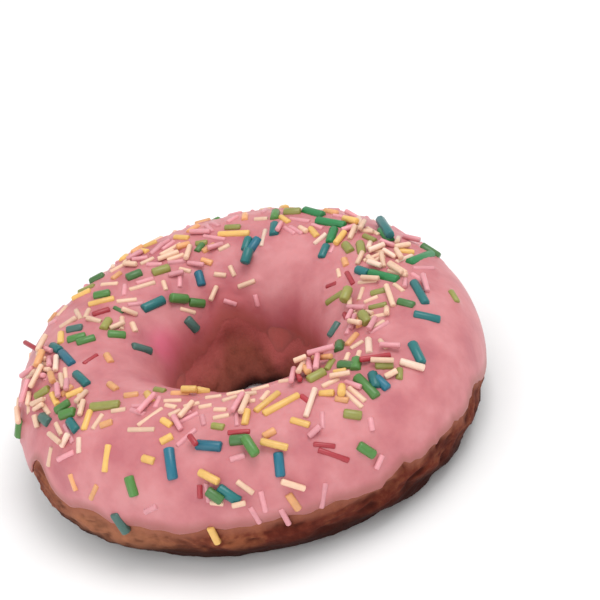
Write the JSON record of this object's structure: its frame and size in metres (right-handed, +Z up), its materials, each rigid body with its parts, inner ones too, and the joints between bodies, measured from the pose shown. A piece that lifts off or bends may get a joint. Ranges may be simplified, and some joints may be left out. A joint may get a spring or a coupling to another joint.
{
  "type": "sprinkle frosted doughnut",
  "caption": "Ring doughnut of fried dough with a flat base, a poured pink icing coat and coloured sugar strands, lying on its base.",
  "frame": {"origin": "on the base plane, under the middle of the whole doughnut's box", "axes": "+Z up through the hole, out of the iced top; +X and +Y across the ring, -Y towards its front"},
  "size_m": [0.0884, 0.0894, 0.0264],
  "materials": {
    "crust": null,
    "icing": null
  },
  "bodies": {
    "root": {"dough": "crust", "icing": "icing"}
  },
  "joints": []
}
